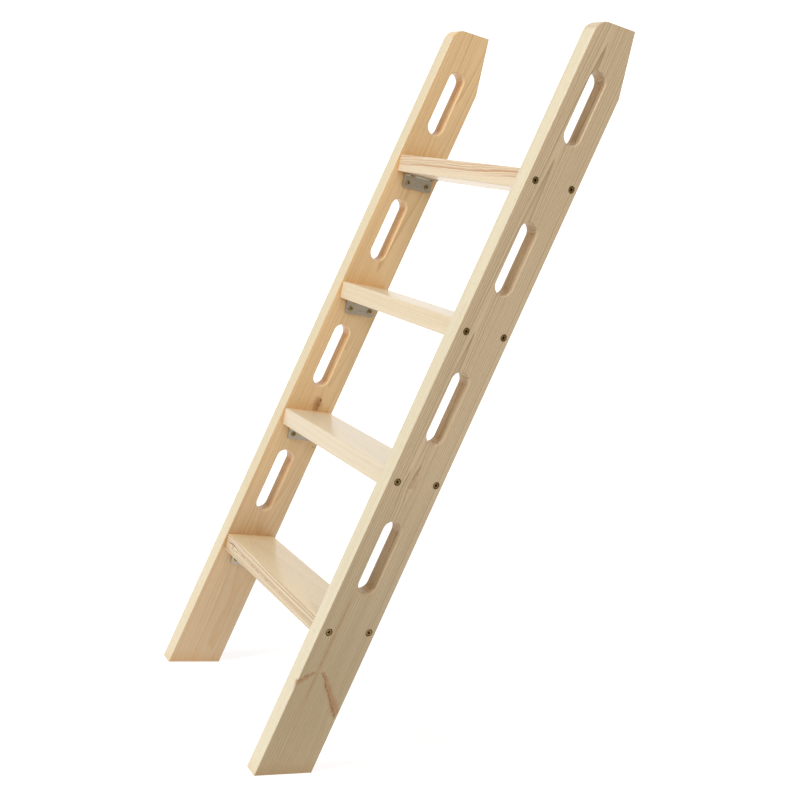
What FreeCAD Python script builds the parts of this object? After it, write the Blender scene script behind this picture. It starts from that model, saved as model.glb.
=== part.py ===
import FreeCAD, Part
import math
import os

# A pine ladder that leans: two side boards (stringers) with hand-hold slots, four level treads between them,
# an angle bracket under each end of each tread, and the screws that hold it all together.
# Millimetres. +Z is up, +X is to the climber's right and +Y is away from the climber.
# The origin is on the floor, at the middle of the ladder's width and depth.

# ---- driving dimensions ----
lean_deg = 14.0             # of the stringers from the vertical, with the feet flat on the floor
height = 1215.0             # floor to the level cut at the top
depth = 375.0               # front of the feet to the upright cut at the top
inner_width = 380.0         # between the stringers, which is the treads' length
board_width = 95.0          # the stringers' section
board_thickness = 30.0
tread_depth = 90.0          # the treads' section
tread_thickness = 30.0
tread_count = 4
first_tread_top = 247.0
tread_rise = 243.0
tread_setback = 3.0         # of a tread's top front edge, measured level from the stringer's front edge
top_corner_radius = 25.0
eased_edge = 1.5            # radius on the boards' long edges

slot_length = 120.0
slot_width = 32.0
slot_setback = 44.5         # of a slot's middle line from the stringer's front edge, across the board
slot_rim = 2.5              # radius on the slots' rims

bolt_spacing = 70.0         # the two furniture screws at each tread end, measured level
bolt_head_diameter = 9.5
bolt_head_height = 4.0
bolt_head_sink = 1.5        # of the head below the board's face
bolt_head_bevel = 0.4       # round the head's top
bolt_shank_diameter = 6.3
bolt_length = 62.0          # under the head
hex_socket = 5.0            # across flats
hex_socket_depth = 2.8
counterbore_diameter = 12.0
bolt_clearance = 0.7        # of the stringer's hole over the shank

bracket_leg = 26.0
bracket_width = 60.0
bracket_thickness = 2.5
bracket_bend = 4.0          # outside radius
bracket_corner = 5.0
bracket_hole_diameter = 5.2
bracket_hole_spacing = 40.0
bracket_hole_reach = 16.5   # from the bend's outer faces

screw_head_diameter = 9.0
screw_head_height = 2.8
screw_head_edge = 0.8       # height of the straight rim under the dome
screw_shank_diameter = 4.5
screw_length = 22.0         # under the head
screw_point = 5.0           # length of the point
recess_reach = 2.6          # from the screw's middle to the end of a wing
recess_foot = 0.5           # the same at the bottom of the recess
recess_wing = 1.1
recess_depth = 2.0

# ---- worked out ----
lean = math.radians(lean_deg)
run = math.tan(lean)                        # how far the ladder goes back for each millimetre up
foot_front = -depth / 2
level_width = board_width / math.cos(lean)  # of a stringer, measured level
inner_face = inner_width / 2
outer_face = inner_face + board_thickness
screw_setting = bracket_thickness           # a screw's head bears on the bracket, this far from the wood
past = 1.0                                  # how far a cutting tool runs past a face
hair = 1e-6                                 # two measures closer than this are the same

right = FreeCAD.Vector(1, 0, 0)
back = FreeCAD.Vector(0, 1, 0)
up = FreeCAD.Vector(0, 0, 1)
origin = FreeCAD.Vector(0, 0, 0)


def front_edge(z):
    """Where the stringers' front edge is at a height."""
    return foot_front + z * run


def slot_middle(z):
    """The point on the slots' middle line at a height."""
    return FreeCAD.Vector(0, front_edge(z) + slot_setback / math.cos(lean), z)


def tread_top(number):
    return first_tread_top + (number - 1) * tread_rise


def tread_front(number):
    return front_edge(tread_top(number)) + tread_setback


def tread_middle(number):
    """The middle of a tread's section."""
    y = tread_front(number) + tread_depth / 2
    return FreeCAD.Vector(0, y, tread_top(number) - tread_thickness / 2)


def pair(middle, spacing):
    """Two points about a middle, a spacing apart from front to back."""
    return [middle + back * (end * spacing / 2) for end in (-1, 1)]


def drill(point, direction, diameter, length):
    """A round tool that starts just outside a face at point and goes in along direction."""
    start = point - direction * past
    return Part.makeCylinder(diameter / 2, length + past, start, direction)


# ---- where the fasteners go, on the right-hand side ----
def bolt_places(number):
    return pair(tread_middle(number) + right * outer_face, bolt_spacing)


def upright_screw_places(number):
    """On the stringer's inner face, under a tread."""
    drop = tread_thickness / 2 + bracket_hole_reach
    return pair(tread_middle(number) + right * inner_face - up * drop, bracket_hole_spacing)


def level_screw_places(number):
    """On a tread's underside."""
    middle = tread_middle(number) + right * (inner_face - bracket_hole_reach)
    return pair(middle - up * (tread_thickness / 2), bracket_hole_spacing)


# ---- stringers ----
def stringer_outline():
    """The board's side view: level foot and top, rounded top front corner, upright cut at the top back."""
    top_front = FreeCAD.Vector(inner_face, front_edge(height), height)
    slope = FreeCAD.Vector(0, math.sin(lean), math.cos(lean))
    corner_angle = math.pi / 2 + lean
    tangent = top_corner_radius / math.tan(corner_angle / 2)
    arc_start = top_front - slope * tangent
    arc_end = top_front + back * tangent
    arc_centre = arc_end - up * top_corner_radius
    to_corner = (top_front - arc_centre).normalize()
    arc_middle = arc_centre + to_corner * top_corner_radius

    foot_a = FreeCAD.Vector(inner_face, foot_front, 0)
    foot_b = foot_a + back * level_width
    rear = foot_front + depth
    cut_start = FreeCAD.Vector(inner_face, rear, (depth - level_width) / run)
    top_back = FreeCAD.Vector(inner_face, rear, height)
    edges = [
        Part.makeLine(foot_a, arc_start),
        Part.Arc(arc_start, arc_middle, arc_end).toShape(),
        Part.makeLine(arc_end, top_back),
        Part.makeLine(top_back, cut_start),
        Part.makeLine(cut_start, foot_b),
        Part.makeLine(foot_b, foot_a),
    ]
    return Part.Wire(edges)


def slot_tool(middle):
    """A hand-hold's obround, through the board, with its length along the board."""
    radius = slot_width / 2
    half = slot_length / 2 - radius

    def at(y, z):
        return FreeCAD.Vector(0, y, z)

    edges = [
        Part.makeLine(at(radius, -half), at(radius, half)),
        Part.Arc(at(radius, half), at(0, half + radius), at(-radius, half)).toShape(),
        Part.makeLine(at(-radius, half), at(-radius, -half)),
        Part.Arc(at(-radius, -half), at(0, -half - radius), at(radius, -half)).toShape(),
    ]
    tool = Part.Face(Part.Wire(edges)).extrude(right * (board_thickness + 2 * past))
    tool.rotate(origin, right, -lean_deg)
    tool.translate(middle + right * (inner_face - past))
    return tool


def lies_on_a_side(edge):
    """True for an edge that lies in one of the board's two wide faces."""
    faces = (inner_face, outer_face)
    box = edge.BoundBox
    return any(abs(box.XMin - x) < hair and abs(box.XMax - x) < hair for x in faces)


def ease_edges(shape, radius, wanted):
    chosen = [edge for edge in shape.Edges if wanted(edge)]
    return shape.makeFillet(radius, chosen)


def is_eased_outline(edge):
    """The outline's edges in the wide faces, apart from the foot's sawn edges."""
    return lies_on_a_side(edge) and edge.BoundBox.ZMax > past


def cut_slot(board, middle):
    tool = slot_tool(middle)
    board = board.cut(tool)
    reach = tool.BoundBox

    def is_rim(edge):
        box = edge.BoundBox
        return lies_on_a_side(edge) and box.ZMin > reach.ZMin - past and box.ZMax < reach.ZMax + past

    return ease_edges(board, slot_rim, is_rim)


def right_stringer():
    board = Part.Face(stringer_outline()).extrude(right * board_thickness)
    board = ease_edges(board, eased_edge, is_eased_outline)
    for number in range(1, tread_count + 1):
        board = cut_slot(board, slot_middle(tread_middle(number).z + tread_rise / 2))
    tools = []
    for number in range(1, tread_count + 1):
        for place in bolt_places(number):
            clear = bolt_shank_diameter + bolt_clearance
            tools.append(drill(place, -right, counterbore_diameter, bolt_head_sink + bolt_head_height))
            tools.append(drill(place, -right, clear, board_thickness + past))
        for place in upright_screw_places(number):
            tools.append(drill(place, right, screw_shank_diameter, screw_length - screw_setting))
    return board.cut(Part.makeCompound(tools))


# ---- treads ----
def tread(number):
    corner = FreeCAD.Vector(-inner_face, tread_front(number), tread_top(number) - tread_thickness)
    board = Part.makeBox(inner_width, tread_depth, tread_thickness, corner)
    board = ease_edges(board, eased_edge, lambda edge: edge.BoundBox.XLength > inner_width / 2)
    tools = []
    into_end = bolt_length - (board_thickness - bolt_head_sink - bolt_head_height)
    for place in bolt_places(number):
        end_point = place - right * board_thickness
        tools.append(drill(end_point, -right, bolt_shank_diameter, into_end))
    for place in level_screw_places(number):
        tools.append(drill(place, up, screw_shank_diameter, screw_length - screw_setting))
    right_holes = Part.makeCompound(tools)
    return board.cut([right_holes, right_holes.mirror(origin, right)])


# ---- fasteners, each drawn at the origin with its head's seat at z = 0 and its shank downwards ----
def furniture_screw():
    """A hex-socket screw with a flat cylindrical head. Its thread is drawn as a plain shank."""
    radius = bolt_head_diameter / 2
    head = Part.makeCylinder(radius, bolt_head_height)
    top_rim = [edge for edge in head.Edges if abs(edge.BoundBox.ZMin - bolt_head_height) < hair]
    head = head.makeChamfer(bolt_head_bevel, top_rim)
    shank = Part.makeCylinder(bolt_shank_diameter / 2, bolt_length, origin, -up)
    floor = up * (bolt_head_height - hex_socket_depth)
    first_corner = right * (hex_socket / math.sqrt(3))
    corners = []
    for step in range(7):
        turn = FreeCAD.Rotation(up, 60 * step)
        corners.append(floor + turn.multVec(first_corner))
    socket = Part.Face(Part.makePolygon(corners)).extrude(up * (hex_socket_depth + past))
    return head.fuse(shank).cut(socket)


def pan_screw():
    """A cross-recess wood screw with a domed head and a point. Its thread is drawn as a plain shank."""
    radius = screw_head_diameter / 2
    shank = screw_shank_diameter / 2
    rim = FreeCAD.Vector(radius, 0, screw_head_edge)
    crown = FreeCAD.Vector(0, 0, screw_head_height)
    rise = screw_head_height - screw_head_edge
    dome_radius = (radius ** 2 + rise ** 2) / (2 * rise)
    half_angle = math.asin(radius / dome_radius) / 2
    dome_middle = FreeCAD.Vector(
        dome_radius * math.sin(half_angle), 0, screw_head_height - dome_radius * (1 - math.cos(half_angle)))
    shoulder = screw_point - screw_length
    edges = [
        Part.makeLine(FreeCAD.Vector(0, 0, -screw_length), FreeCAD.Vector(shank, 0, shoulder)),
        Part.makeLine(FreeCAD.Vector(shank, 0, shoulder), FreeCAD.Vector(shank, 0, 0)),
        Part.makeLine(FreeCAD.Vector(shank, 0, 0), FreeCAD.Vector(radius, 0, 0)),
        Part.makeLine(FreeCAD.Vector(radius, 0, 0), rim),
        Part.Arc(rim, dome_middle, crown).toShape(),
        Part.makeLine(crown, FreeCAD.Vector(0, 0, -screw_length)),
    ]
    body = Part.Face(Part.Wire(edges)).revolve(origin, up, 360)
    floor = FreeCAD.Vector(0, 0, screw_head_height - recess_depth)
    funnel = Part.makeCone(recess_foot, recess_reach, recess_depth, floor, up)
    wings = []
    for length, width in ((2 * recess_reach, recess_wing), (recess_wing, 2 * recess_reach)):
        corner = floor - FreeCAD.Vector(length / 2, width / 2, 0)
        wings.append(Part.makeBox(length, width, recess_depth, corner))
    return body.cut(wings[0].fuse(wings[1]).common(funnel))


def set_fastener(shape, seat, outward):
    """Turns a fastener so that its head points outward and puts its seat at a point."""
    placed = shape.copy()
    placed.Placement = FreeCAD.Placement(seat, FreeCAD.Rotation(up, outward))
    return placed


def bolts(number):
    seats = [place - right * (bolt_head_sink + bolt_head_height) for place in bolt_places(number)]
    return Part.makeCompound([set_fastener(furniture_screw(), seat, right) for seat in seats])


def upright_screws(number):
    seats = [place - right * screw_setting for place in upright_screw_places(number)]
    return Part.makeCompound([set_fastener(pan_screw(), seat, -right) for seat in seats])


def level_screws(number):
    seats = [place - up * screw_setting for place in level_screw_places(number)]
    return Part.makeCompound([set_fastener(pan_screw(), seat, -up) for seat in seats])


# ---- angle brackets ----
def bracket(number):
    """Bent steel strip: one leg up against the stringer's inner face, the other level under the tread."""
    corner = tread_middle(number) + right * inner_face - up * (tread_thickness / 2)
    corner -= back * (bracket_width / 2)

    def at(inward, down):
        """A point of the bent section, from the corner between the stringer and the tread."""
        return corner - right * inward - up * down

    inside = bracket_bend - bracket_thickness
    bend_middle = at(bracket_bend, bracket_bend)
    diagonal = (right + up).normalize()
    edges = [
        Part.makeLine(at(bracket_bend, 0), at(bracket_leg, 0)),
        Part.makeLine(at(bracket_leg, 0), at(bracket_leg, bracket_thickness)),
        Part.makeLine(at(bracket_leg, bracket_thickness), at(bracket_bend, bracket_thickness)),
        Part.Arc(at(bracket_bend, bracket_thickness), bend_middle + diagonal * inside,
                 at(bracket_thickness, bracket_bend)).toShape(),
        Part.makeLine(at(bracket_thickness, bracket_bend), at(bracket_thickness, bracket_leg)),
        Part.makeLine(at(bracket_thickness, bracket_leg), at(0, bracket_leg)),
        Part.makeLine(at(0, bracket_leg), at(0, bracket_bend)),
        Part.Arc(at(0, bracket_bend), bend_middle + diagonal * bracket_bend, at(bracket_bend, 0)).toShape(),
    ]
    strip = Part.Face(Part.Wire(edges)).extrude(back * bracket_width)

    def is_leg_corner(edge):
        """True for an edge that runs straight through one of the legs."""
        box = edge.BoundBox
        through_upright = abs(box.XLength - bracket_thickness) < hair and box.YLength + box.ZLength < hair
        through_level = abs(box.ZLength - bracket_thickness) < hair and box.XLength + box.YLength < hair
        return through_upright or through_level

    strip = ease_edges(strip, bracket_corner, is_leg_corner)
    tools = []
    for place in upright_screw_places(number):
        tools.append(drill(place, -right, bracket_hole_diameter, bracket_thickness + past))
    for place in level_screw_places(number):
        tools.append(drill(place, -up, bracket_hole_diameter, bracket_thickness + past))
    return strip.cut(Part.makeCompound(tools))


# ---- the assembly: everything on the right-hand side is mirrored to the left ----
def save(name, shape):
    shape.exportStep("parts/" + name + ".step")


def save_both_sides(name, shape):
    save(name + "_right", shape)
    save(name + "_left", shape.mirror(origin, right))


os.makedirs("parts", exist_ok=True)
save_both_sides("stringer", right_stringer())
for number in range(1, tread_count + 1):
    save("tread_%d" % number, tread(number))
    save_both_sides("bolts_%d" % number, bolts(number))
    save_both_sides("bracket_%d" % number, bracket(number))
    save_both_sides("stringer_screws_%d" % number, upright_screws(number))
    save_both_sides("tread_screws_%d" % number, level_screws(number))
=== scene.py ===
import math

import bmesh
import bpy
import numpy as np
from mathutils import Matrix, Vector
from mathutils.geometry import delaunay_2d_cdt


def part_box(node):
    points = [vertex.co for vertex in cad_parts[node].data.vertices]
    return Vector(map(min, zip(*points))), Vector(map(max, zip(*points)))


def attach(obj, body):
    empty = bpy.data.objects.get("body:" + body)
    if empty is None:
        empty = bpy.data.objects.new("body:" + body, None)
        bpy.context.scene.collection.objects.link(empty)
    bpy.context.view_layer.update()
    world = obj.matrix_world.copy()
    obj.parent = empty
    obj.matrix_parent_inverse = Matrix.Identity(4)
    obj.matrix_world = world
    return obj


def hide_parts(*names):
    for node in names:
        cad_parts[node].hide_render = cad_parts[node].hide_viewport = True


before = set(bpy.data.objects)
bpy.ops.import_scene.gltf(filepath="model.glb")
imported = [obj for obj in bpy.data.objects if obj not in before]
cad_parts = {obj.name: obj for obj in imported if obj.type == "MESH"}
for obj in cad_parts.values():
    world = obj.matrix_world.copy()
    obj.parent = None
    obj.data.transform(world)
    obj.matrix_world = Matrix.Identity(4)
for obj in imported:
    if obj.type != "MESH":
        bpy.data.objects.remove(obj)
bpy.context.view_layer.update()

MM = 0.001                      # the frame is in metres

# ---- Camera ----
# It stands at the climber's right, a little above the ladder's middle, looks slightly down and is rolled.
view_azimuth = math.radians(58.63)
view_elevation = math.radians(8.19)
view_roll = math.radians(12.6)
view_distance = 1.9967
view_target = Vector((0, 0.0537, 0.5636))
lens_mm = 52.61

back_way = Vector((math.sin(view_azimuth) * math.cos(view_elevation),
                   -math.cos(view_azimuth) * math.cos(view_elevation), math.sin(view_elevation)))
level_way = Vector((math.cos(view_azimuth), math.sin(view_azimuth), 0))
right_way = level_way * math.cos(view_roll) + back_way.cross(level_way) * math.sin(view_roll)
camera_data = bpy.data.cameras.new("camera")
camera_data.lens = lens_mm
camera = bpy.data.objects.new("camera", camera_data)
camera.matrix_world = Matrix.Translation(view_target + back_way * view_distance) @ Matrix(
    (right_way, back_way.cross(right_way), back_way)).transposed().to_4x4()
bpy.context.scene.collection.objects.link(camera)
bpy.context.scene.camera = camera

# ---- Stringers ----
# Two planed pine boards that lean, sawn level at the foot and the top and upright at the top back. Four
# hand-hold slots are routed through each with a rounded rim, and two counterbored holes a tread take the
# furniture screws.
tread_numbers = (1, 2, 3, 4)
sides = {"right": 1, "left": -1}
lean = math.radians(14)
board_width = 95 * MM
level_width = board_width / math.cos(lean)
eased = 1.5 * MM                # radius on the boards' long edges
top_corner = 25 * MM
slot_half_length = 60 * MM
slot_half_width = 16 * MM
slot_setback = 44.5 * MM        # of a slot's middle line from the front edge, across the board
slot_rim = 2.5 * MM
counterbore_radius = 6 * MM
counterbore_depth = 5.5 * MM
drill_break = 0.25 * MM         # the tiny bevel at a hole's mouth
bolt_hole_radius = 3.5 * MM
bolt_head_radius = 4.75 * MM
pilot_radius = 2.25 * MM
pilot_depth = 19.5 * MM
screw_head_radius = 4.5 * MM
arc_steps = 9                   # facets in a quarter round
slot_steps = 32                 # facets in the half round at a slot's end
margin = 0.3 * MM               # a strip of the flat face that keeps the shading of a rounded edge to itself
same_place = 0.001 * MM         # points nearer than this are one
sharp_turn = math.radians(25)   # faces that meet at more than this keep a hard edge
pilot_hole = [(0, pilot_radius), (pilot_depth, pilot_radius), (pilot_depth, 0)]     # (how deep, radius)


def straight(start, end, steps):
    """Evenly spaced points after start, up to end."""
    share = np.linspace(0, 1, steps + 1)[1:, None]
    return np.asarray(start) * (1 - share) + np.asarray(end) * share


def arc(centre, radius, start, end, steps):
    """Points on a circle: centre + radius * (cos, sin) of an angle that goes evenly from start to end."""
    angle = np.linspace(start, end, steps + 1)
    return np.asarray(centre) + radius * np.column_stack([np.cos(angle), np.sin(angle)])


def eased_profile(near, far, radius):
    """(position, inset) across an edge: a quarter round off the near face, a straight wall, and a quarter
    round on to the far face. Position moves off a face by radius * (1 - cos of the turn), and the inset is
    radius * (1 - sin of the turn)."""
    turn = np.linspace(0, math.pi / 2, arc_steps + 1)
    way = math.copysign(1, far - near)
    off = np.concatenate([[0], radius * (1 - np.cos(turn))])
    inset = np.concatenate([[radius + margin], radius * (1 - np.sin(turn))])
    near_half = np.column_stack([near + way * off, inset])
    far_half = np.column_stack([far - way * off, inset])
    return np.vstack([near_half, far_half[::-1]])


def carried(path, inward, profile):
    """A profile carried along a path in the (y, z) plane. Row j, column i of the grid is
    (x_j, path_i + inward_i * inset_j)."""
    flat = path[None] + profile[:, 1][:, None, None] * inward[None]
    x = np.broadcast_to(profile[:, 0][:, None, None], flat[..., :1].shape)
    return np.concatenate([x, flat], axis=-1)


def mitres(path, first, last):
    """At each point of an open path, the vector that moves both edges beside it inward by one unit:
    (n1 + n2) / (1 + n1 . n2), with n1 and n2 the edges' normals. The vectors at the two ends are given."""
    step = np.diff(path, axis=0)
    step /= np.linalg.norm(step, axis=1)[:, None]
    normal = np.column_stack([step[:, 1], -step[:, 0]])
    before, after = normal[:-1], normal[1:]
    middle = (before + after) / (1 + (before * after).sum(axis=1))[:, None]
    return np.vstack([first, middle, last])


class Solid:
    """One closed mesh made of grids of points and of the flat faces between the grids' open edges."""

    def __init__(self):
        self.points = np.empty((0, 3))
        self.faces = []

    def grid(self, points, wrapped):
        """Adds a grid's quads and gives its point numbers. A wrapped grid's last column joins its first."""
        numbers = np.arange(points.shape[0] * points.shape[1]).reshape(points.shape[:2]) + len(self.points)
        self.points = np.concatenate([self.points, points.reshape(-1, 3)])
        around = np.concatenate([numbers, numbers[:, :1]], axis=1) if wrapped else numbers
        corners = [around[:-1, :-1], around[:-1, 1:], around[1:, 1:], around[1:, :-1]]
        self.faces += np.stack(corners, axis=-1).reshape(-1, 4).tolist()
        return numbers

    def hole(self, centre, ways, profile, steps=32):
        """A round hole. The profile holds (how far in, radius), and ways are the inward unit vector and two
        sideways ones: a point is centre + in * inward + radius * (cos * sideways + sin * other)."""
        angle = np.linspace(0, 2 * math.pi, steps, endpoint=False)
        inward, sideways, other = np.asarray(ways, float)
        ring = np.cos(angle)[:, None] * sideways + np.sin(angle)[:, None] * other
        deep = np.asarray(profile)[:, :1, None] * inward
        return self.grid(np.asarray(centre) + deep + np.asarray(profile)[:, 1:, None] * ring, True)

    def fill(self, axis, *loops):
        """Adds triangles across one axis, inside the first loop of point numbers and outside the other,
        round ones: a triangle with all its corners on one of those lies in its hole."""
        numbers = np.concatenate(loops)
        owner = np.repeat(np.arange(len(loops)), [len(loop) for loop in loops])
        following = np.concatenate([np.roll(np.flatnonzero(owner == i), -1) for i in range(len(loops))])
        edges = np.column_stack([np.arange(len(numbers)), following])
        flat = np.delete(self.points[numbers], axis, axis=1)
        _, _, triangles, origins, _, _ = delaunay_2d_cdt(
            [Vector(point) for point in flat.tolist()], edges.tolist(), [], 1, same_place)
        triangles = np.array([origin[0] for origin in origins])[np.array(triangles)]
        first, second, third = owner[triangles].T
        in_hole = (first == second) & (second == third) & (first > 0)
        self.faces += numbers[triangles[~in_hole]].tolist()

    def piece(self, name):
        """The finished object: coincident points merged, normals outward, smooth apart from real edges."""
        mesh = bpy.data.meshes.new(name)
        mesh.from_pydata(self.points.tolist(), [], self.faces)
        shape = bmesh.new()
        shape.from_mesh(mesh)
        bmesh.ops.remove_doubles(shape, verts=shape.verts, dist=same_place)
        bmesh.ops.recalc_face_normals(shape, faces=shape.faces)
        shape.to_mesh(mesh)
        shape.free()
        mesh.shade_smooth()
        mesh.set_sharp_from_angle(angle=sharp_turn)
        piece = bpy.data.objects.new(name, mesh)
        bpy.context.scene.collection.objects.link(piece)
        return piece


def pair_places(node, head_radius):
    """The y of the two fasteners in a node whose heads reach to its front and back."""
    low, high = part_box(node)
    return low.y + head_radius, high.y - head_radius


def middle_z(node):
    low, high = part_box(node)
    return (low.z + high.z) / 2


def stringer_outline(front, rear, top):
    """(y, z) points from the foot's front corner up the front edge, round the top corner, along the top,
    and down the upright cut and the back edge. The round starts and ends its radius / tan(half the corner's
    angle) from the sharp corner that it replaces."""
    slope = np.array([math.sin(lean), math.cos(lean)])
    corner = np.array([front + top * math.tan(lean), top])
    tangent = top_corner / math.tan((math.pi / 2 + lean) / 2)
    foot, foot_back = (front, 0), (front + level_width, 0)
    cut_foot = (rear, (rear - foot_back[0]) / math.tan(lean))
    return np.vstack([
        [foot],
        straight(foot, corner - slope * tangent, steps=48),
        arc(corner + (tangent, -top_corner), top_corner, math.pi - lean, math.pi / 2, steps=12)[1:],
        straight(corner + (tangent, 0), (rear, top), steps=3),
        straight((rear, top), cut_foot, steps=5),
        straight(cut_foot, foot_back, steps=44),
    ])


def stringer_slots(solid, front, outer, inner):
    """The walls of the four slots, each half a rise above its tread's middle and turned to lie along the
    board. A slot's line is a half circle about each end of its middle line."""
    half_rise = (middle_z("tread_2") - middle_z("tread_1")) / 2
    straight_half = slot_half_length - slot_half_width
    tilt = np.array([[math.cos(lean), -math.sin(lean)], [math.sin(lean), math.cos(lean)]])
    ring = np.vstack([arc((0, 0), 1, 0, math.pi, slot_steps),
                      arc((0, 0), 1, math.pi, 2 * math.pi, slot_steps)])
    centre_line = np.repeat([(0, straight_half), (0, -straight_half)], slot_steps + 1, axis=0)
    walls = []
    for number in tread_numbers:
        z = middle_z(f"tread_{number}") + half_rise
        middle = np.array([front + z * math.tan(lean) + slot_setback / math.cos(lean), z])
        path = (centre_line + ring * slot_half_width) @ tilt + middle
        walls.append(solid.grid(carried(path, ring @ tilt, eased_profile(outer, inner, slot_rim)), True))
    return walls


def stringer_holes(solid, side, outer, inner):
    """The furniture screws' counterbored holes from outside and the bracket screws' pilot holes from inside.
    Gives the holes' loops of points on the outer face, and those on the inner face."""
    bolt_hole = [(0, counterbore_radius + drill_break), (drill_break, counterbore_radius),
                 (counterbore_depth, counterbore_radius), (counterbore_depth, bolt_hole_radius),
                 (abs(outer - inner), bolt_hole_radius)]
    inward, outward = (-sides[side], 0, 0), (sides[side], 0, 0)
    backward, upward = (0, 1, 0), (0, 0, 1)
    outer_loops, inner_loops = [], []
    for number in tread_numbers:
        bolts, screws = f"bolts_{number}_{side}", f"stringer_screws_{number}_{side}"
        for y in pair_places(bolts, bolt_head_radius):
            hole = solid.hole((outer, y, middle_z(bolts)), (inward, backward, upward), bolt_hole)
            outer_loops.append(hole[0])
            inner_loops.append(hole[-1])
        for y in pair_places(screws, screw_head_radius):
            hole = solid.hole((inner, y, middle_z(screws)), (outward, backward, upward), pilot_hole)
            inner_loops.append(hole[0])
    return outer_loops, inner_loops


def stringer(side):
    """The rounded edge and wall carried along the outline, with the two faces filled in round the
    openings."""
    low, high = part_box("stringer_" + side)
    outer, inner = (high.x, low.x) if sides[side] > 0 else (low.x, high.x)
    path = stringer_outline(low.y, high.y, high.z)
    along_sole = 1 / math.cos(lean)
    solid = Solid()
    edge = solid.grid(carried(path, mitres(path, (along_sole, 0), (-along_sole, 0)),
                              eased_profile(outer, inner, eased)), False)
    slots = stringer_slots(solid, low.y, outer, inner)
    outer_holes, inner_holes = stringer_holes(solid, side, outer, inner)
    solid.fill(0, edge[0], *[slot[0] for slot in slots], *outer_holes)
    solid.fill(0, edge[-1], *[slot[-1] for slot in slots], *inner_holes)
    solid.fill(2, np.concatenate([edge[:, 0], edge[::-1, -1]]))
    piece = solid.piece("stringer_board_" + side)
    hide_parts("stringer_" + side)
    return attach(piece, "root")


class Socket:
    """A value, colour or vector in a material. Arithmetic on it adds the Math nodes that do it."""

    def __init__(self, finish, link):
        self.finish = finish
        self.link = link

    def math(self, operation, *others):
        inputs = dict(enumerate((self, *others)))
        return self.finish.add("ShaderNodeMath", {"operation": operation}, inputs)

    def vector(self, operation, *others):
        inputs = dict(enumerate((self, *others)))
        return self.finish.add("ShaderNodeVectorMath", {"operation": operation}, inputs)

    def number(self, operation, *others):
        """A vector operation that gives a number."""
        inputs = dict(enumerate((self, *others)))
        return self.finish.add("ShaderNodeVectorMath", {"operation": operation}, inputs, "Value")

    def part(self, axis):
        """One of a vector's three numbers."""
        return self.finish.add("ShaderNodeSeparateXYZ", {}, {0: self}, axis)

    def __add__(self, other):
        return self.math("ADD", other)

    __radd__ = __add__

    def __sub__(self, other):
        return self.math("SUBTRACT", other)

    def __rsub__(self, other):
        return self.math("MULTIPLY_ADD", -1, other)

    def __mul__(self, other):
        return self.math("MULTIPLY", other)

    __rmul__ = __mul__

    def __truediv__(self, other):
        return self.math("DIVIDE", other)

    def above(self, low, high):
        """0 below low, 1 above high, and a smooth step between them."""
        inputs = {"Value": self, "From Min": low, "From Max": high}
        return self.finish.add("ShaderNodeMapRange", {"interpolation_type": "SMOOTHSTEP"}, inputs)


class Finish:
    """A material in the making. Its point is where the surface is, in the object's own metres."""

    def __init__(self, name):
        self.material = bpy.data.materials.new(name)
        self.material.use_nodes = True
        self.nodes = self.material.node_tree.nodes
        self.nodes.clear()
        self.point = self.add("ShaderNodeTexCoord", {}, {}, "Object")

    def add(self, kind, settings, inputs, output=0):
        """A node of a kind, with its settings first and then its inputs, as a value or from another node."""
        node = self.nodes.new(kind)
        for key, value in settings.items():
            setattr(node, key, value)
        for key, value in inputs.items():
            if isinstance(value, Socket):
                self.material.node_tree.links.new(value.link, node.inputs[key])
            else:
                node.inputs[key].default_value = value
        return Socket(self, node.outputs[output]) if node.outputs else None

    def noise(self, point, size, detail=2.0, roughness=0.5, output=0):
        """Smooth noise about 0.5, whose blotches are size (x, y, z) large in the point's own unit."""
        place = point.vector("DIVIDE", size)
        inputs = {"Vector": place, "Scale": 1, "Detail": detail, "Roughness": roughness}
        return self.add("ShaderNodeTexNoise", {}, inputs, output)

    def wander(self, point, size, reach, detail=2.0, roughness=0.5):
        """A vector that strays from nothing by half of reach (x, y, z) at most, with noise of a size."""
        colour = self.noise(point, size, detail, roughness, "Color")
        return colour.vector("SUBTRACT", (0.5, 0.5, 0.5)).vector("MULTIPLY", reach)

    def joined(self, *numbers):
        """A vector from its three numbers."""
        return self.add("ShaderNodeCombineXYZ", {}, dict(enumerate(numbers)))

    def mix(self, amount, one, other, blend="MIX"):
        """Colour one where amount is 0, and colour other blended over it where amount is 1."""
        settings = {"data_type": "RGBA", "blend_type": blend}
        return self.add("ShaderNodeMix", settings, {0: amount, 6: one, 7: other}, 2)

    def shade(self, inputs):
        """Ends the material with a Principled shader."""
        shader = self.add("ShaderNodeBsdfPrincipled", {}, inputs)
        self.add("ShaderNodeOutputMaterial", {}, {"Surface": shader})
        return self.material


def tint(red, green, blue):
    """A colour given as 0 to 255 display values."""
    share = np.array([red, green, blue]) / 255
    linear = np.where(share <= 0.04045, share / 12.92, ((share + 0.055) / 1.055) ** 2.4)
    return (*linear.tolist(), 1.0)


knot_wood = tint(164, 110, 56)
knot_bark = tint(98, 62, 28)
painted_close_shade = tint(236, 202, 148)   # painted shade: the tone the wood is multiplied towards between wooden faces near each other
close_distance = 50 * MM
skin = (0.1, 0.8)                   # millimetres below a face or edge over which its own look ends
foot_shade_reach = (60, 620)              # millimetres above the sole over which the foot's painted shade ends


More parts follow.
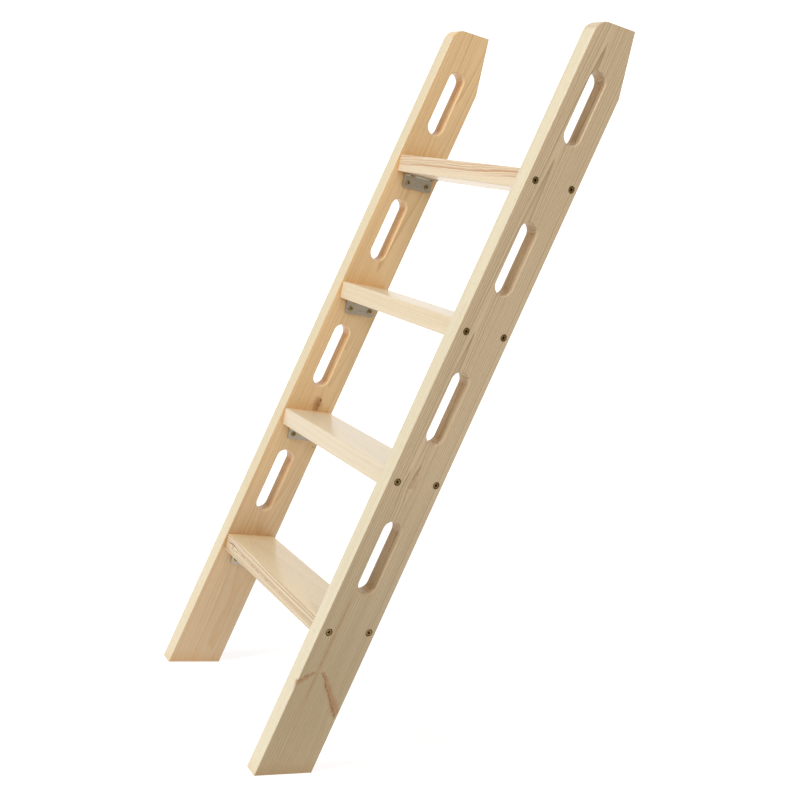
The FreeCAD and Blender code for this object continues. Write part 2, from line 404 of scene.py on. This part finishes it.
def part_round_knots(finish, board, rough_edge, knots):
    """The board's point with the grain parted round its knots, and how much knot wood and knot bark shows
    there. A knot is a tapering branch (start, end, radius at each, strength) in the board's millimetres,
    and d is the distance from its line over its radius. A point takes its grain from nearer the line, by
    0.9 * exp(-0.22 * d * d) of the way, with d shorter along the grain. Knot wood reaches to a ragged
    edge, and broken bark lies along one side."""
    ragged = board.vector("ADD", finish.wander(board, (9, 9, 14), (2.0, 7.0, 7.0), 3.0, 0.6))
    broken = finish.noise(board, (2, 3, 5), 1.0).above(0.35, 0.62)
    grain, dark, bark = board, 0.0, 0.0
    for start, end, start_radius, end_radius, strength in knots:
        branch = Vector(end) - Vector(start)
        side = Vector((0, -branch.z, branch.y)).normalized()
        share = ragged.vector("SUBTRACT", start).number("DOT_PRODUCT", branch) * (1 / branch.length_squared)
        share = share.math("MAXIMUM", 0.0).math("MINIMUM", 1.0)
        nearest = finish.joined(*[share * branch[axis] + start[axis] for axis in range(3)])
        aside = ragged.vector("SUBTRACT", nearest)
        radius = share * (end_radius - start_radius) + start_radius
        away = aside.number("LENGTH") / radius
        shorter = aside.vector("MULTIPLY", (1.0, 1.0, 0.4)).number("LENGTH") / radius
        pull = (shorter * shorter * -0.22).math("EXPONENT") * 0.9
        grain = grain.vector("SUBTRACT", aside.vector("MULTIPLY", finish.joined(pull, pull, pull)))
        sideways = aside.number("DOT_PRODUCT", side) / radius + rough_edge * 1.1
        dark = (1 - (away + rough_edge).above(0.2, 2.0)) * strength * (0.9 + rough_edge) + dark
        line = 1 - (sideways + 0.6).math("ABSOLUTE").above(0.0, 0.4)
        bark = line * (1 - away.above(0.8, 1.5)) * (broken * 0.7 + 0.15) * strength + bark
    return grain, dark, bark


def rings(finish, grain, pith, pith_lean, ring_width, late_power, seed):
    """How far the grain's point is from the pith's line, and its share of late wood. A ring's number is that
    distance over the ring width, plus slow unevenness. Late wood grows with the number's fraction, raised to
    late_power, stops short at the ring's end, and is half to fully dark from ring to ring."""
    along = grain.part(2)
    centre = finish.joined(along * pith_lean[0] + pith[0], along * pith_lean[1] + pith[1], along)
    radius = grain.vector("SUBTRACT", centre).number("LENGTH")
    number = radius / ring_width + seed
    inputs = {"W": number, "Scale": 0.37, "Detail": 1.0}
    uneven = finish.add("ShaderNodeTexNoise", {"noise_dimensions": "1D"}, inputs)
    number = uneven * 2.2 + number
    share = number.math("FRACT")
    each = finish.add("ShaderNodeTexWhiteNoise", {"noise_dimensions": "1D"}, {"W": number.math("FLOOR")})
    return radius, share.math("POWER", late_power) * (1 - share.above(0.94, 1.0)) * (each * 0.5 + 0.5)


def pine(name, location, rotation, pale, late, foot, edge, pith, pith_lean, ring_width, contrast, drift=12.0,
         ripple=1.0, calm_face=0.0, calm_edge=0.0, band=(90, 99), late_power=4.0, knots=(), lacquer=0.3,
         seed=0.0):
    """Clear-lacquered pine. Its point is turned into the board's own millimetres: through it from the face,
    across it from the front edge, and along the grain. Drift and ripple bend the rings, slowly and finely.
    The rings fade on the face by calm_face, on the front edge by calm_edge, and through the board over the
    band. The pale wood turns to the foot tone towards the foot, a painted shade for the dimmer light low
    down, and to the edge tone on the front edge, partly the edge grain's own paler tone and partly painted
    light."""
    finish = Finish(name)
    inputs = {"Vector": finish.point, "Location": location, "Rotation": rotation, "Scale": (1 / MM,) * 3}
    board = finish.add("ShaderNodeMapping", {"vector_type": "POINT"}, inputs)
    on_face = 1 - board.part(0).above(*skin)
    on_edge = 1 - board.part(1).above(*skin)
    shown = (1 - on_face * calm_face) * (1 - on_edge * calm_edge) * (1 - board.part(0).above(*band) * 0.85)

    rough_edge = finish.noise(board, (4, 4, 12), 2.0) - 0.5
    grain, dark, bark = part_round_knots(finish, board, rough_edge, knots)
    grain = grain.vector("ADD", finish.wander(board, (70, 70, 420), (drift, drift, 0)))
    grain = grain.vector("ADD", finish.wander(board, (10, 10, 60), (ripple, ripple, 0)))
    radius, late_share = rings(finish, grain, pith, pith_lean, ring_width, late_power, seed)
    late_share = late_share * shown
    pith_streak = (1 - radius.above(0.6, 3.6)) * (rough_edge + 0.6) * shown
    stripes = finish.noise(grain, (5, 5, 500), 2.0)
    fibre = finish.noise(board, (0.35, 0.35, 14), 1.0)
    canals = finish.noise(board, (0.8, 0.8, 10), 0.0).above(0.68, 0.76)
    open_sky = finish.add("ShaderNodeAmbientOcclusion", {"samples": 6}, {"Distance": close_distance}, 1)

    # Painted shade: the wood darkens to the foot tone towards the sole, where less light falls.
    wood = finish.mix(board.part(2).above(*foot_shade_reach), foot, pale)
    # The front edge's tone is partly the edge grain's own paler tone and partly painted light.
    wood = finish.mix(on_edge, wood, edge)
    wood = finish.mix(late_share * contrast, wood, late)
    wood = finish.mix(stripes.above(0.4, 0.7) * shown * 0.16, wood, late)
    wood = finish.mix(canals * 0.25, wood, late)
    wood = finish.mix(fibre.above(0.3, 0.75) * 0.12, wood, late)
    wood = finish.mix((pith_streak * 0.7).math("MAXIMUM", dark * 0.75), wood, knot_wood)
    wood = finish.mix(bark, wood, knot_bark)
    # Painted shade: wood near other wooden faces, in the slots and along joints, is multiplied towards a
    # darker warm tone.
    wood = finish.mix((1 - open_sky.above(0.35, 0.8)) * 0.7, wood, painted_close_shade, "MULTIPLY")
    height = late_share * 0.5 + fibre * 0.3
    bump = finish.add("ShaderNodeBump", {}, {"Strength": 0.12, "Distance": 0.2 * MM, "Height": height})
    roughness = finish.noise(board, (40, 40, 120), 2.0) * 0.12 + (fibre * 0.06 + 0.36)
    return finish.shade({
        "Base Color": wood, "Roughness": roughness, "Normal": bump,
        "Coat Weight": lacquer, "Coat Roughness": 0.14, "Specular IOR Level": 0.3})


def lean_place(side):
    """The Mapping node's location that puts a stringer's right face at 0 through it, and the front corner
    of its foot at (0, 0) across and along it."""
    low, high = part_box("stringer_" + side)
    return -high.x / MM, -low.y * math.cos(lean) / MM, -low.y * math.sin(lean) / MM


right_stringer = stringer("right")
right_stringer.data.materials.append(pine(
    "pine of the right stringer", lean_place("right"), (lean, 0, 0), pale=tint(228, 209, 177),
    late=tint(150, 116, 74), foot=tint(186, 169, 135), edge=tint(232, 220, 192), pith=(4.0, 27),
    pith_lean=(-0.018, 0.004), ring_width=3.0, contrast=0.9, drift=4.0, calm_edge=0.8,
    knots=[((-1, 22, 177), (-1, -4, 152), 1.8, 4.0, 0.9), ((-1, 38, 180), (-1, 88, 126), 2.5, 6.5, 0.9),
           ((-3, 42, 530), (0, 43, 496), 2.5, 5.0, 0.4)]))
# The left board's paler, warmer tone is painted light: it stands in for the light bounced between the boards
# on to its inner face.
left_stringer = stringer("left")
left_stringer.data.materials.append(pine(
    "pine of the left stringer", lean_place("left"), (lean, 0, 0), pale=tint(242, 212, 166),
    late=tint(194, 144, 88), foot=tint(208, 184, 150), edge=tint(230, 216, 184), pith=(-60, 62),
    pith_lean=(0.02, 0.0), ring_width=3.2, contrast=0.6, calm_edge=0.8, seed=5.3,
    knots=[((-14, 62, 490), (2, 58, 540), 3.0, 6.0, 1.0), ((-9, 88, 455), (1, 88, 458), 1.0, 1.6, 1.0)]))

# ---- Treads ----
# Four planed pine boards with eased edges, cut square and set level between the stringers. Furniture screws
# hold them by the end grain, and the brackets' screws bite into their undersides.
bolt_pilot_radius = 3.15 * MM


def tread_outline(low, high):
    """(y, z) points round a tread's section: four quarter rounds, with a point the margin before and after
    each."""
    corners = [((low.y + eased, low.z + eased), 1.5), ((low.y + eased, high.z - eased), 1.0),
               ((high.y - eased, high.z - eased), 0.5), ((high.y - eased, low.z + eased), 0.0)]
    rounds = []
    for centre, start in corners:
        turn = arc(centre, eased, start * math.pi, (start - 0.5) * math.pi, arc_steps)
        first, last = turn[0] - turn[1], turn[-1] - turn[-2]
        rounds.append(np.vstack([turn[0] + first / np.linalg.norm(first) * margin, turn,
                                 turn[-1] + last / np.linalg.norm(last) * margin]))
    return np.vstack(rounds)


def tread(number):
    """The section carried from end to end, with the ends and the underside filled in round the screws'
    holes."""
    low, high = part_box(f"tread_{number}")
    path = tread_outline(low, high)
    ends = np.array([[low.x, 0], [high.x, 0]])
    solid = Solid()
    body = solid.grid(carried(path, np.zeros_like(path), ends), False)
    end_loops, under_loops = {"left": [body[0]], "right": [body[-1]]}, []
    for side, sign in sides.items():
        bolts, screws = f"bolts_{number}_{side}", f"tread_screws_{number}_{side}"
        end, tip = (high.x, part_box(bolts)[0].x) if sign > 0 else (low.x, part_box(bolts)[1].x)
        depth = abs(tip - end)
        bolt_pilot = [(0, bolt_pilot_radius), (depth, bolt_pilot_radius), (depth, 0)]
        for y in pair_places(bolts, bolt_head_radius):
            hole = solid.hole((end, y, middle_z(bolts)), ((-sign, 0, 0), (0, 1, 0), (0, 0, 1)), bolt_pilot)
            end_loops[side].append(hole[0])
        middle_x = (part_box(screws)[0].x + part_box(screws)[1].x) / 2
        for y in pair_places(screws, screw_head_radius):
            hole = solid.hole((middle_x, y, low.z), ((0, 0, 1), (1, 0, 0), (0, 1, 0)), pilot_hole)
            under_loops.append(hole[0])
    solid.fill(0, *end_loops["left"])
    solid.fill(0, *end_loops["right"])
    solid.fill(2, np.array([body[0, 0], body[0, -1], body[1, -1], body[1, 0]]), *under_loops)
    piece = solid.piece(f"tread_board_{number}")
    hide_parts(f"tread_{number}")
    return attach(piece, "root")


# The lowest and the top tread are cut nearer the pith and show bold rings on their front edges.
tread_looks = {
    1: dict(pale=tint(232, 213, 178), late=tint(146, 92, 40), pith=(-260, 20), pith_lean=(0.02, 0),
            ring_width=4.6, contrast=1.4, late_power=2.2, drift=6.0, ripple=2.0, calm_face=0.9, band=(22, 34),
            knots=[((14, 20, -166), (13, -3, -160), 2.0, 4.0, 1.0),
                   ((14, -1, -120), (18, -1, 40), 1.2, 0.8, 0.7)], seed=1.7),
    2: dict(pale=tint(232, 217, 190), late=tint(196, 162, 114), pith=(-200, 50), pith_lean=(0.02, 0),
            ring_width=3.0, contrast=0.3, calm_face=0.6, seed=2.9),
    3: dict(pale=tint(234, 217, 187), late=tint(196, 160, 112), pith=(-240, 40), pith_lean=(0.02, 0),
            ring_width=3.2, contrast=0.3, calm_face=0.6, seed=4.1),
    4: dict(pale=tint(236, 219, 190), late=tint(180, 112, 40), pith=(-90, 10), pith_lean=(-0.03, 0.03),
            ring_width=4.4, contrast=1.0, late_power=1.8, drift=22.0, ripple=5.0, calm_face=0.7,
            band=(12, 21), seed=6.3),
}
for number in tread_numbers:
    low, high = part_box(f"tread_{number}")
    looks = tread_looks[number]
    tread(number).data.materials.append(pine(
        f"pine of tread {number}", (high.z / MM, -low.y / MM, 0), (0, -math.pi / 2, 0), lacquer=0.35,
        foot=looks["pale"], edge=looks["pale"], **looks))

# ---- Brackets ----
# One steel strip under each end of each tread, punched and bent to a right angle, with a dull zinc plating.
# Two screws hold each leg to the wood.


def plating(name, tone, worn_tone, recess_painted_shade, recess_depth, roughness):
    """Dull plated steel: cloudy tone and roughness, and painted shade that darkens recesses and joints."""
    finish = Finish(name)
    cloud = finish.noise(finish.point, (5 * MM, 5 * MM, 5 * MM), 3.0)
    scuffs = finish.noise(finish.point, (0.5 * MM, 6 * MM, 0.5 * MM), 2.0)
    open_sky = finish.add("ShaderNodeAmbientOcclusion", {"samples": 8}, {"Distance": recess_depth}, 1)
    metal = finish.mix(cloud.above(0.3, 0.75), tone, worn_tone)
    # Painted shade: recesses and joints turn to the dark recess tone.
    metal = finish.mix(open_sky.above(0.35, 0.85), recess_painted_shade, metal)
    rough = cloud * 0.16 + (scuffs * 0.12 + roughness)
    return finish.shade({"Base Color": metal, "Metallic": 1.0, "Roughness": rough})


def plate(node, material):
    """Gives a steel part its plating in place of the plain finish that it came with."""
    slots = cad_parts[node].data.materials
    slots.clear()
    slots.append(material)


zinc = plating("zinc plate", tone=tint(190, 181, 164), worn_tone=tint(206, 198, 182),
               recess_painted_shade=tint(110, 98, 82), recess_depth=1.5 * MM, roughness=0.34)
for number in tread_numbers:
    for side in sides:
        plate(f"bracket_{number}_{side}", zinc)

# ---- Furniture screws and bracket screws ----
# Turned steel screws with a yellow-passivated zinc plating. Hex-socket furniture screws are sunk in the
# stringers' counterbores, and pan heads with a cross recess sit on the brackets' legs.
yellow_zinc = plating("yellow zinc", tone=tint(150, 124, 78), worn_tone=tint(186, 164, 120),
                      recess_painted_shade=tint(20, 15, 10), recess_depth=3 * MM, roughness=0.28)
for number in tread_numbers:
    for side in sides:
        for kind in ("bolts", "stringer_screws", "tread_screws"):
            plate(f"{kind}_{number}_{side}", yellow_zinc)

# ---- Floor, backdrop and light ----
# A roll of white paper: a floor that curves up into a wall behind the ladder, plain and softly lit. A large
# soft light stands before the ladder, and a smaller warm one beside it.
scene = bpy.context.scene
sweep_front = -0.75
sweep_reach = 4.0
sweep_radius = 1.5
sweep_height = 6.0
sweep_width = 12.0
light_width = 1.2


def sweep():
    """The floor's line, a quarter circle and the wall's line, carried sideways and turned to face the
    camera."""
    bend = arc((sweep_reach, sweep_radius), sweep_radius, -math.pi / 2, 0, steps=16)
    line = np.vstack([[(sweep_front, 0)], bend, [(sweep_reach + sweep_radius, sweep_height)]])
    across = np.array([-sweep_width / 2, sweep_width / 2])
    away = -np.array([back_way.x, back_way.y]) / math.hypot(back_way.x, back_way.y)
    aside = np.array([away[1], -away[0]])
    flat = line[None, :, :1] * away + across[:, None, None] * aside
    points = np.concatenate([flat, np.broadcast_to(line[None, :, 1:], flat[..., :1].shape)], axis=-1)
    numbers = np.arange(points.shape[0] * points.shape[1]).reshape(points.shape[:2])
    faces = np.stack([numbers[:-1, :-1], numbers[1:, :-1], numbers[1:, 1:], numbers[:-1, 1:]], axis=-1)
    mesh = bpy.data.meshes.new("sweep")
    mesh.from_pydata(points.reshape(-1, 3).tolist(), [], faces.reshape(-1, 4).tolist())
    mesh.shade_smooth()
    floor = bpy.data.objects.new("sweep", mesh)
    scene.collection.objects.link(floor)
    return floor


def white_paper():
    """Matt white with a faint mottle, and a glow that grows away from the ladder so that no horizon
    shows."""
    finish = Finish("white paper")
    mottle = finish.noise(finish.point, (0.4, 0.4, 0.4), 2.0)
    tone = finish.mix(mottle, tint(168, 168, 168), tint(172, 172, 172))
    distance = finish.point.number("LENGTH")
    glow = finish.mix(distance.above(0.6, 3.0), tint(222, 222, 224), tint(252, 252, 252))
    return finish.shade({
        "Base Color": tone, "Roughness": 0.8, "Emission Color": glow, "Emission Strength": 1.0})


floor = sweep()
floor.data.materials.append(white_paper())


def soft_light(name, place, target, power, warmth):
    """A square of light that faces a target."""
    data = bpy.data.lights.new(name, "AREA")
    data.shape = "SQUARE"
    data.size = light_width
    data.energy = power
    data.color = warmth
    light = bpy.data.objects.new(name, data)
    light.location = place
    light.rotation_euler = (Vector(place) - Vector(target)).to_track_quat("Z", "Y").to_euler()
    scene.collection.objects.link(light)


soft_light("key", place=(0.55, -2.9, 2.6), target=(0, 0, 0.6), power=82, warmth=(0.95, 0.99, 1.0))
soft_light("fill", place=(2.4, -0.2, 2.3), target=(0.2, 0, 0.9), power=20, warmth=(1.0, 0.86, 0.70))
scene.world = bpy.data.worlds.new("studio")
scene.world.use_nodes = True
room_light = scene.world.node_tree.nodes["Background"]
room_light.inputs["Color"].default_value = (1.0, 0.95, 0.88, 1.0)
room_light.inputs["Strength"].default_value = 0.34
scene.view_settings.view_transform = "Standard"
